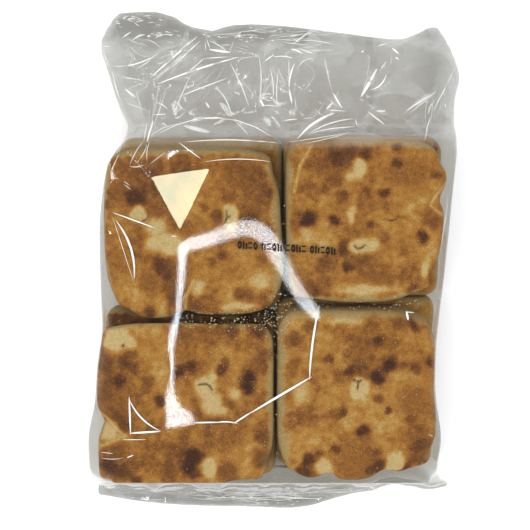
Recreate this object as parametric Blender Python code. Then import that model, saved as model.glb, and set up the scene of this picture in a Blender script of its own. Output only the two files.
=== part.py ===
"""A clear sealed bag of eight square sandwich buns, lying flat with its empty end towards +Y.

The buns lie two by two in two layers, and the film is drawn tight over them. So the bag is one closed
solid: a lofted tube with rounded box sections over the bread, which flattens into a crimped seal at
each end. Metres, +Z up. The origin is the middle of the outline, on the surface that the bag lies on.
"""

import bmesh
import bpy
import numpy as np

MM = 0.001

# The bread under the film.
SHOULDER_RADIUS = 17 * MM
CROWN = 2.2 * MM  # how far a bun's top swells above its edges
GAP_DIP = 9 * MM  # how far the film sags between two buns
GAP_HALF_WIDTH = 7.5 * MM
COLUMN_GAP_X = (3 * MM, 6 * MM)  # at the sealed end's row of buns, and at the empty end's
ROW_GAP_Y = (-30 * MM, -18.5 * MM)  # at the left pair of buns, and at the right pair
BREAD_ENDS_Y = (-151 * MM, 94 * MM)
BREAD_END_ROLL = 25 * MM  # length over which the film rolls off the bread at either end
BUN_PITCH = 117 * MM

# The two crimped seals.
SEAL_DEPTH = 11 * MM
SEALED_END_Y = -178.7 * MM
EMPTY_END_Y = 173 * MM

# The film's outline from above, as (y, x) down each side and (x, y) along each seal, in millimetres.
LEFT_SIDE = (
    (-178.7, -130), (-148, -127.5), (-104, -127), (-90, -123.5), (-62, -121), (-32, -117), (17, -117.5),
    (52, -116), (79, -110.5), (100, -99), (110, -104), (140, -115.5), (159, -121), (173, -109),
)
RIGHT_SIDE = (
    (-178.7, 130), (-160, 128), (-149, 118.5), (-109, 117), (-81, 112.5), (-52, 112), (-10, 115.5),
    (24, 118.5), (64, 121.5), (98, 124.5), (125, 126.5), (144, 130), (158, 126), (173, 115),
)
SEALED_EDGE = (
    (-130, -169), (-93, -175.5), (-70, -177.5), (-22, -178.7), (29, -178), (47, -172), (70, -166), (102, -163),
    (130, -163),
)
EMPTY_EDGE = (
    (-121, 172), (-106, 178.7), (-62, 172.5), (-54, 166), (-44, 163.5), (-35, 169), (-9, 170.5), (46, 165),
    (88, 160.5), (98, 163), (114, 171), (130, 160),
)

# Heights of the upper and the lower sheet along the bag, as (y, z) in millimetres.
# The bread under them is two layers of 28 mm buns.
UPPER_SHEET = (
    (-178.7, 7.8), (-167, 8.8), (-162, 20), (-155, 38), (-146, 52), (-134, 57.5), (76, 57.5), (87, 54),
    (96, 44), (112, 34), (135, 23), (156, 13), (163, 10.8), (173, 8.8),
)
LOWER_SHEET = (
    (-178.7, 6.2), (-167, 7.2), (-158, 2.5), (-149, 0), (88, 0), (105, 1), (135, 4.5), (163, 9.2), (173, 7.2),
)

# Folds that stand up from the empty end's film: both ends as (x, y), crest height and half width.
FOLDS = (
    ((-46, 164), (-86, 122), 4.5, 7),
    ((-46, 164), (-70, 104), 3.5, 6),
    ((-84, 120), (-52, 138), 3.0, 6),
    ((-96, 100), (-24, 108), 3.5, 7),
    ((-24, 108), (6, 98), 3.0, 6),
    ((-118, 152), (-78, 146), 3.0, 6),
    ((-44, 158), (-10, 98), 3.0, 7),
    ((2, 166), (4, 112), 4.0, 8),
    ((16, 100), (54, 116), 4.0, 7),
    ((60, 118), (84, 152), 3.0, 8),
    ((92, 158), (128, 144), 3.5, 8),
    ((98, 104), (128, 146), 3.0, 7),
)

FOLD_SHARPNESS = 1.5  # 1 is a straight-sided ridge, more is a narrower crest

# Points round the tube, as shares of the way round from its left side over the top, with how many steps
# lie between one share and the next. They crowd at the column gap, which is at a quarter.
ROUND_SHARES = (0, 0.225, 0.275, 0.5, 1)
ROUND_STEPS = (22, 10, 22, 18)
UPPER_STEPS = sum(ROUND_STEPS[:3])
GAP_SHARE = 0.25

# Rings along the tube, in the same way. They crowd at the row gap and where the film leaves the bread.
RING_PLACES_Y = (SEALED_END_Y, -134 * MM, -45 * MM, -5 * MM, 74 * MM, 108 * MM, EMPTY_END_Y)
RING_STEPS = (11, 10, 11, 9, 9, 14)

ARC_STEPS = 24
FLAT_SHARE = 0.98  # a low section's corners take this much of its half height


def clear_scene():
    for item in list(bpy.data.objects):
        bpy.data.objects.remove(item)


def along(pairs, where):
    """The smooth line through (place, value) pairs in millimetres, read at places in metres."""
    places, values = np.array(pairs, float).T * MM
    slopes = np.gradient(values, places)
    steps = np.diff(values) / np.diff(places)
    level = np.concatenate([[False], steps[1:] * steps[:-1] <= 0, [False]])
    slopes[level] = 0.0
    where = np.clip(np.asarray(where, float), places[0], places[-1])
    at = np.clip(np.searchsorted(places, where, side="right") - 1, 0, len(places) - 2)
    span = places[at + 1] - places[at]
    t = (where - places[at]) / span
    rise = t * t * (3 - 2 * t)
    bend_in = t * (1 - t) ** 2 * span * slopes[at]
    bend_out = t * t * (t - 1) * span * slopes[at + 1]
    return values[at] + (values[at + 1] - values[at]) * rise + bend_in + bend_out


def smooth_step(low, high, value):
    t = np.clip((value - low) / (high - low), 0, 1)
    return t * t * (3 - 2 * t)


def spaced(places, steps):
    """Evenly stepped values from each place to the next, without the last place."""
    spans = zip(places, places[1:], steps)
    return np.concatenate([np.linspace(near, far, count, endpoint=False) for near, far, count in spans])


def section(width, height, gap_x):
    """Points of a rounded box section round its own centre, crowded where the column gap crosses its top."""
    radius = min(SHOULDER_RADIUS, height / 2 * FLAT_SHARE)
    half_w, half_h = width / 2 - radius, height / 2 - radius
    corners = ((-half_w, half_h, 180), (half_w, half_h, 90), (half_w, -half_h, 0), (-half_w, -half_h, -90))
    outline = [(-width / 2, 0.0)]
    for x, z, start in corners:
        turn = np.radians(np.linspace(start, start - 90, ARC_STEPS))
        outline += list(zip(x + radius * np.cos(turn), z + radius * np.sin(turn)))
    outline = np.array(outline + [(-width / 2, 0.0)])
    length = np.concatenate([[0], np.cumsum(np.linalg.norm(np.diff(outline, axis=0), axis=1))])
    shares = spaced(ROUND_SHARES, ROUND_STEPS)
    shifted = GAP_SHARE + gap_x / length[-1]
    shares = np.interp(shares, (0, GAP_SHARE, 0.5, 1), (0, shifted, 0.5, 1))
    return [np.interp(shares * length[-1], length, outline[:, k]) for k in (0, 1)]


def column_gap(y):
    """Where the gap between the left and the right buns lies in x."""
    back = smooth_step(ROW_GAP_Y[0] - BUN_PITCH, ROW_GAP_Y[1] + BUN_PITCH, y)
    return COLUMN_GAP_X[0] + (COLUMN_GAP_X[1] - COLUMN_GAP_X[0]) * back


def pillow(x, y):
    """How far the film over the bread stands from a level top: it sags at the gaps and swells over buns."""
    gap_x = column_gap(y)
    right = smooth_step(-BUN_PITCH / 3, BUN_PITCH / 3, x)
    gap_y = ROW_GAP_Y[0] + (ROW_GAP_Y[1] - ROW_GAP_Y[0]) * right
    column = np.exp(-(((x - gap_x) / GAP_HALF_WIDTH) ** 2))
    row = np.exp(-(((y - gap_y) / GAP_HALF_WIDTH) ** 2))
    sag = GAP_DIP * (1 - (1 - column) * (1 - row))
    across = np.abs(np.sin(np.pi * np.clip((x - gap_x) / BUN_PITCH, -1, 1)))
    down = np.abs(np.sin(np.pi * np.clip((y - gap_y) / BUN_PITCH, -1, 1)))
    on_bread = smooth_step(BREAD_ENDS_Y[0], BREAD_ENDS_Y[0] + BREAD_END_ROLL, y)
    half_roll = BREAD_END_ROLL / 2
    on_bread *= 1 - smooth_step(BREAD_ENDS_Y[1] - half_roll, BREAD_ENDS_Y[1] + half_roll, y)
    return (CROWN * across * down - sag) * on_bread


def folded(x, y):
    """Height that the folds add to the upper sheet."""
    rise = np.zeros_like(x)
    for start, end, crest, half_width in FOLDS:
        start, end = np.array(start) * MM, np.array(end) * MM
        run = end - start
        share = np.clip(((x - start[0]) * run[0] + (y - start[1]) * run[1]) / (run @ run), 0, 1)
        away = np.hypot(x - start[0] - share * run[0], y - start[1] - share * run[1])
        ridge = np.clip(1 - away / (half_width * MM), 0, None) ** FOLD_SHARPNESS
        rise = np.maximum(rise, crest * MM * ridge)
    return rise


def ring(y):
    """One closed ring of the tube at y along the bag, drawn out to the seals' uneven edges near the ends."""
    left, right = along(LEFT_SIDE, y), along(RIGHT_SIDE, y)
    top, bottom = along(UPPER_SHEET, y), along(LOWER_SHEET, y)
    middle = (left + right) / 2
    x, z = section(right - left, top - bottom, column_gap(y) - middle)
    x = x + middle
    upper = smooth_step(0, (top - bottom) / 2, z)
    z = z + (top + bottom) / 2
    y = np.full_like(x, y)
    y = y + smooth_step(BREAD_ENDS_Y[1], EMPTY_END_Y, y) * (along(EMPTY_EDGE, x) - EMPTY_END_Y)
    y = y + (1 - smooth_step(SEALED_END_Y, BREAD_ENDS_Y[0], y)) * (along(SEALED_EDGE, x) - SEALED_END_Y)
    z = z + upper * (pillow(x, y) + folded(x, y))
    return np.stack([x, y, z], axis=1)


def bag_rings():
    """All rings from the sealed end to the empty one, moved so that the origin is under the outline's middle."""
    places = np.append(spaced(RING_PLACES_Y, RING_STEPS), EMPTY_END_Y)
    places[1] = SEALED_END_Y + SEAL_DEPTH / 2
    rings = np.array([ring(y) for y in places])
    flat = rings.reshape(-1, 3)
    middle = (flat.min(0) + flat.max(0)) / 2
    return rings - [middle[0], middle[1], 0]


def film_material():
    material = bpy.data.materials.new("film_over_bread")
    material.use_nodes = True
    shader = material.node_tree.nodes["Principled BSDF"]
    shader.inputs["Base Color"].default_value = (0.48, 0.25, 0.09, 1)
    shader.inputs["Roughness"].default_value = 0.25
    shader.inputs["Metallic"].default_value = 0.0
    return material


def make_bag():
    """Bridges the rings into one closed skin and closes each seal's edge."""
    mesh = bmesh.new()
    loops = [[mesh.verts.new(point) for point in points] for points in bag_rings()]
    count = sum(ROUND_STEPS)
    for near, far in zip(loops, loops[1:]):
        for i in range(count):
            j = (i + 1) % count
            mesh.faces.new((near[i], near[j], far[j], far[i]))
    for edge in (loops[0], loops[-1]):
        close_edge(mesh, edge)
    bmesh.ops.triangulate(mesh, faces=mesh.faces[:])
    bmesh.ops.recalc_face_normals(mesh, faces=mesh.faces[:])
    data = bpy.data.meshes.new("bag")
    mesh.to_mesh(data)
    mesh.free()
    bag = bpy.data.objects.new("bag", data)
    bpy.context.scene.collection.objects.link(bag)
    bag.data.materials.append(film_material())
    bag.data.shade_smooth()
    bag.data.set_sharp_from_angle(angle=np.radians(50))
    return bag


def close_edge(mesh, edge):
    """Zips the upper and the lower half of an end ring together with a strip of triangles."""
    upper = edge[: UPPER_STEPS + 1]
    lower = [edge[0]] + edge[:UPPER_STEPS:-1] + [edge[UPPER_STEPS]]
    i = j = 0
    while i < len(upper) - 1 or j < len(lower) - 1:
        behind = (i + 1) * (len(lower) - 1) <= (j + 1) * (len(upper) - 1)
        if j == len(lower) - 1 or (i < len(upper) - 1 and behind):
            corners = (upper[i], upper[i + 1], lower[j])
            i += 1
        else:
            corners = (upper[i], lower[j + 1], lower[j])
            j += 1
        if len(set(corners)) == 3:
            mesh.faces.new(corners)


def main():
    clear_scene()
    make_bag()


main()
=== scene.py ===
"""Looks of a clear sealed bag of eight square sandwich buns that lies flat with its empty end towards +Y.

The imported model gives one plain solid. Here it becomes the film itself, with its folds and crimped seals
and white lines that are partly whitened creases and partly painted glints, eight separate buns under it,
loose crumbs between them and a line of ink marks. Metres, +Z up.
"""

import math
import random
from dataclasses import dataclass

import bmesh
import bpy
import numpy as np
from mathutils import Matrix, Vector, noise
from mathutils.bvhtree import BVHTree


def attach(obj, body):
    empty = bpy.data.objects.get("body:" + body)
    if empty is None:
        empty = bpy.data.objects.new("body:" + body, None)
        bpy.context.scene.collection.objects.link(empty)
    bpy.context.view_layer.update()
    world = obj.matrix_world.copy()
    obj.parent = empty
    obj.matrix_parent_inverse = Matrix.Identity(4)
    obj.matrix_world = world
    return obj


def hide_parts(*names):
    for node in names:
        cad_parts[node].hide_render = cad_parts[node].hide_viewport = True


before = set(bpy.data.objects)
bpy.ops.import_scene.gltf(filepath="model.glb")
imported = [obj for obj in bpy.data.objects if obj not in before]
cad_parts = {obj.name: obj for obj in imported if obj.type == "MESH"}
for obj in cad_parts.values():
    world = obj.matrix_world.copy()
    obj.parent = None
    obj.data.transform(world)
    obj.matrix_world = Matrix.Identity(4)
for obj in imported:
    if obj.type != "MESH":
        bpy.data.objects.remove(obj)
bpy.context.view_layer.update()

MM = 0.001

# The film.
FILM_TOP = 57.9 * MM  # the taut film's height over the bread
BREAD_AREA = ((-114, 112), (-148, 93))  # where the film lies on bread, as x and y ranges in millimetres
EDGE_ROLL = 5  # width in millimetres over which it turns down at the bread's outer edges
FILM_GAP = 0.4 * MM  # between the film and the crust, at least

# The buns.
LOWER_BASE = 0.9 * MM
LOWER_TOP = 28.3 * MM
UPPER_BASE = 28.7 * MM
UPPER_TOP = 56.6 * MM
TOP_ROLL = 4.6 * MM
FOOT_ROLL = 6 * MM
CORNER_ROLL = 10 * MM  # seen from above
FINE_VOXEL = 0.95 * MM
COARSE_VOXEL = 2.0 * MM
RIM_BROWNING = 0.17
BLISTER_HEIGHT = 0.35  # millimetres
TEAR_HALF_WIDTH = 0.55  # millimetres
TEAR_DEPTH = 1.6  # millimetres


# Small tools.

def linear(code):
    """An sRGB hex colour as the linear values that Blender's sockets take."""
    parts = [int(code[i:i + 2], 16) / 255 for i in (0, 2, 4)]
    return (*[c / 12.92 if c <= 0.04045 else ((c + 0.055) / 1.055) ** 2.4 for c in parts], 1.0)


def add_node(tree, kind, sockets=(), **settings):
    """Adds a node. Settings are its properties, or its inputs by name. Sockets, by name or number, take
    another node's output or a plain value.
    """
    node = tree.nodes.new(kind)
    for name, value in settings.items():
        if hasattr(node, name):
            setattr(node, name, value)
        else:
            node.inputs[name.replace("_", " ")].default_value = value
    for name, value in dict(sockets).items():
        if isinstance(value, bpy.types.NodeSocket):
            tree.links.new(value, node.inputs[name])
        else:
            node.inputs[name].default_value = value
    return node


def deselect():
    for item in bpy.context.selected_objects:
        item.select_set(False)


def work_on(piece):
    deselect()
    piece.select_set(True)
    bpy.context.view_layer.objects.active = piece


def apply_modifier(piece, kind, **settings):
    work_on(piece)
    modifier = piece.modifiers.new(kind.title(), kind)
    for name, value in settings.items():
        setattr(modifier, name, value)
    bpy.ops.object.modifier_apply(modifier=modifier.name)


def points_of(piece):
    points = np.empty(len(piece.data.vertices) * 3)
    piece.data.vertices.foreach_get("co", points)
    return points.reshape(-1, 3)


def place_points(piece, points):
    piece.data.vertices.foreach_set("co", np.ascontiguousarray(points, dtype=np.float32).ravel())
    piece.data.update()


def store(piece, name, values):
    """Keeps one number for each vertex, for the materials to read."""
    layer = piece.data.attributes.new(name, "FLOAT", "POINT")
    layer.data.foreach_set("value", np.ascontiguousarray(values, dtype=np.float32))


def smooth_step(low, high, value):
    t = np.clip((value - low) / (high - low), 0, 1)
    return t * t * (3 - 2 * t)


def cloud(points, size, seed):
    """Smooth noise from -1 to 1 at each point, with lumps of about that size."""
    shift = Vector((seed * 7.3, seed * 3.1, seed * 5.7))
    return np.array([noise.noise(Vector(p) + shift) for p in points / size])


def distance_from_line(x, y, start, end):
    """Distance of each place from a straight line between two points."""
    run = np.subtract(end, start)
    share = np.clip(((x - start[0]) * run[0] + (y - start[1]) * run[1]) / (run @ run), 0, 1)
    return np.hypot(x - start[0] - share * run[0], y - start[1] - share * run[1])


# The buns. Places on a bun are in millimetres from its middle, so that each list reads like the bun itself.

@dataclass
class Bun:
    name: str
    middle: tuple  # x, y in millimetres
    edges: tuple  # how far its left, right, near and far edges lie from its middle
    pale_edges: tuple  # width in millimetres of the pale band at its left, right, near and far edge
    seed: int
    base: float = UPPER_BASE
    top: float = UPPER_TOP
    browning: float = 0.5
    roll: float = TOP_ROLL  # radius of the edge round its top
    undercut: float = 0  # how far in its far side leans under its top, in millimetres
    bulges: tuple = ()  # where its outline swells or shrinks: x, y, radius, how far outwards
    docks: tuple = ()  # pale pricked dents: x, y, half width, half depth, how deep
    scorches: tuple = ()  # dark blisters: x, y, radius, how dark
    creases: tuple = ()  # soft pale creases: start, end, half width, how deep
    tears: tuple = ()  # thin torn slits: start, end


UPPER_BUNS = (
    Bun(
        "bun_far_left", (-54, 29), (-59, 59, -53, 60), (2, 5, 1.5, 3), 1, browning=0.6,
        bulges=(
            (-58, 5, 30, 1.5), (-57, -53, 18, -8), (60, 55, 18, -8), (60, -20, 20, 2.5), (57, -50, 14, -6),
            (-5, -55, 7, -3.5), (-57, 58, 14, -4), (-30, -54, 16, 3),
        ),
        docks=(
            (-36, 16, 5.5, 5, 1.7), (-25, 8, 9, 8, 0.5), (-16, -4, 9, 8, 1.0), (-27, -3, 7, 7, 0.5),
            (25, 14, 4.5, 8, 1.8), (3, -33, 5, 8, 0.4), (45, -30, 8, 9, 0.3), (32, -47, 16, 3, 0.4),
        ),
        scorches=(
            (-38, 28, 7, 0.9), (-22, 19, 7, 0.62), (7, 21, 4, 0.66), (16, 15, 4, 0.76), (25, 28, 5, 0.68),
            (-3, 7, 5, 0.58), (20, -12, 4, 0.76), (13, -17, 4, 0.7), (31, -38, 5, 0.72),
            (-31, -12, 5, 0.62), (-23, -19, 5.5, 0.84), (-17, -25, 5.5, 0.84), (-17, -33, 5, 0.7),
            (-13, -41, 6, 0.76), (-28, -50, 5, 0.82), (3, -45, 4.5, 0.74), (15, -47, 5, 0.64),
            (-50, -18, 4, 0.56), (45, -14, 4, 0.64), (40, 38, 12, 0.66), (28, 42, 8, 0.62),
            (47, 26, 4, 0.7), (-45, 32, 8, 0.64), (-38, 44, 7, 0.62), (-30, -30, 9, 0.6), (-10, 12, 5, 0.6),
        ),
        creases=(((0, -29), (-5, -39), 1.4, 1.2), ((-5, -39), (-6, -55), 1.4, 1.4)),
        tears=(((23, 19), (22, 10)), ((22, 13), (25, 15)), ((-34, 12), (-31, 13)), ((-31, 13), (-30, 16))),
    ),
    Bun(
        "bun_far_right", (63, 38.5), (-54.5, 53, -54, 57.5), (3.5, 0.5, 3.5, 4), 2, browning=0.49,
        bulges=(
            (53, 18, 7, -4), (54, 32, 9, 2), (55, 56, 18, -9), (54, -52, 24, -13), (-54, 54, 10, -3),
            (-52, -54, 24, -5), (50, -10, 16, -1),
        ),
        docks=(
            (-5, 38, 4.5, 6, 1.5), (-12, 34, 4, 4, 0.5), (-4, -15, 6.5, 4.5, 1.3), (4, -14, 6, 5, 0.8),
            (-10, 6.5, 3, 6, 0.5), (42, -32, 5, 8, 0.7), (0, -45, 28, 4, 0.3),
        ),
        scorches=(
            (-39, 4, 7.5, 0.96), (-22, 2.5, 5, 0.92), (-20, 46, 8.5, 0.86), (-12, 48, 6, 0.8),
            (-0.5, 47.5, 4.5, 0.84), (20, 42, 4.5, 0.82), (20, 52, 4, 0.74), (-40, 41, 6, 0.7),
            (-29, 40, 5, 0.7), (-22, 31, 5, 0.7), (-28, 24, 4.5, 0.7), (-17, 21, 4, 0.78),
            (-1, 21, 4, 0.72), (12.5, 22.5, 3.8, 0.88), (-44, 25, 4, 0.64), (38, -9, 5, 0.9),
            (45, 3, 6, 0.7), (40, 6, 6, 0.64), (-15, -13, 4, 0.76), (-15, -18, 4.5, 0.88),
            (-12, -28.5, 4, 0.87), (-2, -24, 5, 0.7), (-29, -24, 5, 0.72), (-31, -31, 4, 0.66),
            (3, 1, 3.2, 0.78), (25, -35, 4, 0.66), (16, -36, 4, 0.62), (8, -35, 4, 0.62),
            (34, -47, 5.5, 0.76), (12, -8, 4, 0.62), (-9, -6, 5, 0.58), (46, 34, 3.5, 0.74),
            (25, -18, 3.5, 0.62), (30, 35, 14, 0.58), (-30, 45, 14, 0.6),
        ),
        creases=(
            ((53, 28), (43, 14), 1.3, 1.4), ((43, 13), (52, 6), 1.3, 1.4), ((-38, 53), (-45, 40), 1.5, 1.0),
            ((-45, 40), (-49, 22), 1.3, 0.8),
        ),
        tears=(
            ((12, 3.5), (17, 3)), ((17, 3), (20, 4)), ((21, 5.5), (25, 5)), ((-8, -14.5), (-6, -16.5)),
            ((-6, -16.5), (-3, -16)), ((-3, -16), (-1, -14.5)),
        ),
    ),
    Bun(
        "bun_near_left", (-60, -90.5), (-61, 60.5, -57, 60.8), (0.5, 4, 0.5, 1.6), 3, browning=0.53,
        roll=2.6 * MM, undercut=5,
        bulges=(
            (-61, -10, 8, -5), (-58, 58, 16, -4), (-61, 32, 16, 1), (56, -58, 22, -9), (34, -60, 14, -4),
            (60, 57, 8, -2), (-58, -57, 9, -2),
        ),
        docks=(
            (-49, 51, 10, 9, 1.1), (-38, 47, 5, 5, 0.6), (13, 16, 6.5, 6.5, 1.6), (18, 5, 7, 8, 0.8),
            (24, -1, 6, 4, 0.5), (18, 24, 3, 4, 0.6), (34, 12, 7, 6, 0.3), (15, -42, 4.5, 5.5, 1.6),
            (-53, -12, 6, 5, 1.0), (-54, -18, 6, 4, 0.7),
        ),
        scorches=(
            (41, 16.5, 6, 1.0), (43, 24, 5, 0.97), (-5, 27.5, 6, 0.9), (4, 32, 6, 0.88),
            (26, 28, 5.5, 0.84), (28, 34, 4, 0.72), (33, 57, 5.5, 0.8), (50, 56, 6.5, 0.82),
            (57, 40, 5, 0.62), (-37, 40, 4, 0.72), (-45, 22, 6, 0.88), (-52, 20, 6, 0.74),
            (-25, 20, 5, 0.7), (-27, 15, 4, 0.66), (-17, 7, 4.5, 0.88), (29, 4, 5, 0.72),
            (-55, 12, 7, 0.72), (-48, -5, 6, 0.78), (-42, -11, 6, 0.78), (5, -33, 7.5, 0.97),
            (1, -40, 7.5, 0.98), (6, -46, 4, 0.86), (-52, -41, 7.5, 0.88), (-43, -44, 6, 0.82),
            (-35, -50, 5, 0.84), (-13, -41, 4.5, 0.74), (52, -19, 5.5, 0.74), (55, -36, 8, 0.74),
            (28, -43, 9, 0.68), (-25, -9, 4, 0.66), (-50, 0, 12, 0.62), (30, -20, 10, 0.6),
            (0, 40, 9, 0.56),
        ),
        creases=(((-61, -2), (-42, -19), 2.0, 2.0), ((-42, -19), (-60, -26), 1.6, 1.2)),
        tears=(
            ((9, 18), (14, 18.5)), ((13, 18.5), (17, 16.5)), ((16, 17), (18, 14)),
            ((-43.5, 45), (-42.5, 46.5)), ((-43.5, 46), (-42, 45)),
        ),
    ),
    Bun(
        "bun_near_right", (57.5, -83), (-54.5, 55, -58, 62.5), (6, 0.5, 0.5, 5), 4, browning=0.46,
        bulges=(
            (-20, -60, 7, -6), (22, -60, 8, -6), (55, -60, 24, -13), (-55, -58, 16, -9), (56, -28, 16, 2),
            (53, 8, 12, -2), (54, 62, 18, -9), (-56, 62, 10, -3), (-2, -60, 12, 1),
        ),
        docks=(
            (2, 8, 6, 7, 1.7), (-22, -49, 5, 7, 1.7), (29, -47, 6, 8, 2.0), (-8, 56, 14, 4, 0.5),
            (-38, 4, 9, 12, 0.25),
        ),
        scorches=(
            (22, 25, 6.5, 0.95), (14, 16, 5.5, 0.95), (-4, 20, 4, 0.88), (15, 42, 5, 0.86),
            (-20, 28, 3.5, 0.78), (5, -22, 5.5, 0.94), (-9, -8, 4, 0.78), (-14, -10, 4, 0.66),
            (22, -6.5, 4, 0.82), (15, 0, 4, 0.7), (-43, 43, 6, 0.72), (-33, 52, 5, 0.64), (-5, 44, 4, 0.66),
            (-6, 32, 4, 0.64), (5, 38, 4, 0.58), (39, 55, 5.5, 0.86), (28, 55, 5, 0.7), (50, 27, 4, 0.84),
            (40, 22, 5, 0.76), (32, 25, 3.5, 0.7), (38, -13, 5, 0.72), (44, -21, 5, 0.7),
            (-33, -43, 6, 0.87), (-25, -40, 5, 0.74), (-36, -53, 7, 0.86), (16, -49, 7, 0.86),
            (9, -52, 5, 0.78), (13, -38, 5, 0.7), (-13, -35, 4, 0.8), (36, -53, 6.5, 0.88),
            (45, -34, 8, 0.78), (41, -45, 6, 0.74), (-31, 13, 4, 0.64), (-12, 16, 5, 0.62),
            (-42, 26, 4, 0.62), (40, 0, 16, 0.58), (0, -48, 20, 0.58),
        ),
        tears=(((1, 13), (1, 7)), ((1, 12), (-2, 14)), ((1, 12), (3, 13.5))),
    ),
)

LOWER_BUNS = (
    Bun(
        "bun_under_far_left", (-51, 33), (-55, 57.2, -57.5, 60), (4, 4, 4, 6), 5,
        LOWER_BASE, LOWER_TOP, browning=0.45,
    ),
    Bun(
        "bun_under_far_right", (60, 35), (-53, 56, -51.5, 59), (4, 4, 4, 4), 6,
        LOWER_BASE, LOWER_TOP, browning=0.6,
    ),
    Bun(
        "bun_under_near_left", (-58, -92), (-60, 60, -56, 61.5), (4, 4, 3, 1), 7,
        LOWER_BASE, LOWER_TOP, browning=0.72,
        bulges=((-50, 62, 16, 5),),
    ),
    Bun(
        "bun_under_near_right", (60, -83), (-57.3, 54, -58, 65.5), (4, 4, 4, 4), 8,
        LOWER_BASE, LOWER_TOP, browning=0.6,
    ),
)


def select_edges(piece, wanted):
    """In edit mode, selects the edges for which wanted(first corner, second corner) is true."""
    shape = bmesh.from_edit_mesh(piece.data)
    for edge in shape.edges:
        edge.select_set(bool(wanted(edge.verts[0].co, edge.verts[1].co)))
    bmesh.update_edit_mesh(piece.data)


def dough_block(bun, voxel):
    """A block of dough with rounded corners and rims, cut into even small faces that can be sculpted."""
    deselect()
    left, right, near, far = bun.edges
    middle = (
        (bun.middle[0] + (left + right) / 2) * MM,
        (bun.middle[1] + (near + far) / 2) * MM,
        (bun.base + bun.top) / 2,
    )
    size = ((right - left) * MM, (far - near) * MM, bun.top - bun.base)
    bpy.ops.mesh.primitive_cube_add(size=1, location=middle, scale=size)
    piece = bpy.context.active_object
    piece.name = bun.name
    bpy.ops.object.transform_apply(location=True, rotation=True, scale=True)
    bpy.ops.object.mode_set(mode="EDIT")
    bpy.ops.mesh.select_mode(type="EDGE")
    select_edges(piece, lambda a, b: abs(a.z - b.z) > size[2] / 2)
    bpy.ops.mesh.bevel(offset=CORNER_ROLL, segments=6)
    select_edges(piece, lambda a, b: min(a.z, b.z) > bun.top - 0.1 * MM)
    bpy.ops.mesh.bevel(offset=bun.roll, segments=5)
    select_edges(piece, lambda a, b: max(a.z, b.z) < bun.base + 0.1 * MM)
    bpy.ops.mesh.bevel(offset=FOOT_ROLL, segments=4)
    bpy.ops.object.mode_set(mode="OBJECT")
    apply_modifier(piece, "REMESH", mode="VOXEL", voxel_size=voxel)
    apply_modifier(piece, "SMOOTH", factor=0.5, iterations=6)
    return piece


def uneven_outline(bun, u, v):
    """How much further out than a true square each place is drawn, as a share, all round the bun."""
    draw = random.Random(bun.seed)
    turn = np.arctan2(v, u)
    wave = sum(draw.uniform(0.3, 1) / k * np.sin(k * turn + draw.uniform(0, math.tau)) for k in range(2, 9))
    return 0.009 * wave


def bell(u, v, x, y, radius_x, radius_y):
    """1 in the middle of a round patch, fading softly to 0 outside it."""
    return np.exp(-(((u - x) / radius_x) ** 2 + ((v - y) / radius_y) ** 2))


@dataclass
class Skin:
    """A bun's surface while it is shaped. Each array holds one number for each vertex."""
    u: np.ndarray  # place from the bun's middle, in millimetres
    v: np.ndarray
    mark_u: np.ndarray  # the same with a wander, so that no mark measured from it comes out round
    mark_v: np.ndarray
    middling: np.ndarray  # noise with lumps of 12 mm
    small: np.ndarray  # and of 4.2 mm
    fine: np.ndarray  # and of 2.6 mm
    upward: np.ndarray  # 1 on the bun's top, 0 on its sides
    side: np.ndarray  # 1 on the bun's sides
    # flour on the sides and pale rims; on the sides it also gives painted shade
    flour_and_shade: np.ndarray
    lift: np.ndarray  # how far the surface is raised, in millimetres
    brown: np.ndarray
    # where the slits are cut in, which also gives the painted shade inside them
    slit_depth_and_shade: np.ndarray


def draw_outline(bun, points, u, v, below_top):
    """Moves a bun's sides to its uneven outline, and its far side in under its top."""
    left, right, near, far = bun.edges
    reach = np.maximum.reduce([u / left, u / right, v / near, v / far])
    away = np.maximum(np.hypot(u, v), 1)
    outward = uneven_outline(bun, u, v) * away
    for x, y, radius, out in bun.bulges:
        outward += out * bell(u, v, x, y, radius, radius)
    outward *= reach ** 3
    points[:, 0] += outward * u / away * MM
    points[:, 1] += outward * v / away * MM
    points[:, 1] -= bun.undercut * smooth_step(2, 12, below_top) * smooth_step(0.8, 1, v / far) * MM


def fresh_skin(bun, points, u, v, below_top):
    """The surface before any mark is made in it: gently uneven, with floury sides that also get painted
    shade.
    """
    broad = cloud(points, 34 * MM, bun.seed)
    middling = cloud(points, 12 * MM, bun.seed + 20)
    small = cloud(points, 4.2 * MM, bun.seed + 40)
    fine = cloud(points, 2.6 * MM, bun.seed + 80)
    side = smooth_step(4.5, 11, below_top) * smooth_step(0, 8, (points[:, 2] - bun.base) / MM)
    return Skin(
        u, v,
        mark_u=u + 2.6 * cloud(points, 9 * MM, bun.seed + 60) + 1.0 * small,
        mark_v=v + 2.6 * cloud(points, 9 * MM, bun.seed + 70) + 1.0 * fine,
        middling=middling,
        small=small,
        fine=fine,
        upward=1 - smooth_step(2, 9, below_top),
        side=side,
        flour_and_shade=side,
        lift=0.9 * broad + 0.6 * middling + 0.25 * small,
        brown=bun.browning - 0.02 + 0.3 * broad + 0.2 * middling + 0.16 * small,
        slit_depth_and_shade=np.zeros(len(points)),
    )


def bake_pale_rims(bun, skin):
    """Leaves an uneven pale band with flour on it along each edge."""
    left, right, near, far = bun.edges
    edge_in = [skin.u - left, right - skin.u, skin.v - near, far - skin.v]
    for width, distance in zip(bun.pale_edges, edge_in):
        ragged = distance + 2.5 * skin.middling + 1.5 * skin.small
        band = 1 - smooth_step(0.3 * width, 1.6 * width, ragged)
        skin.brown += band * (RIM_BROWNING - skin.brown)
        skin.flour_and_shade = np.maximum(skin.flour_and_shade, band)


def blister(bun, skin):
    """Makes the dark blisters, which stand a little proud."""
    for x, y, radius, darkness in bun.scorches:
        spot = bell(skin.mark_u, skin.mark_v, x, y, radius, radius) * skin.upward
        skin.brown += smooth_step(0.05, 0.9, spot) * np.maximum(darkness - skin.brown, 0)
        skin.lift += BLISTER_HEIGHT * spot


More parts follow.
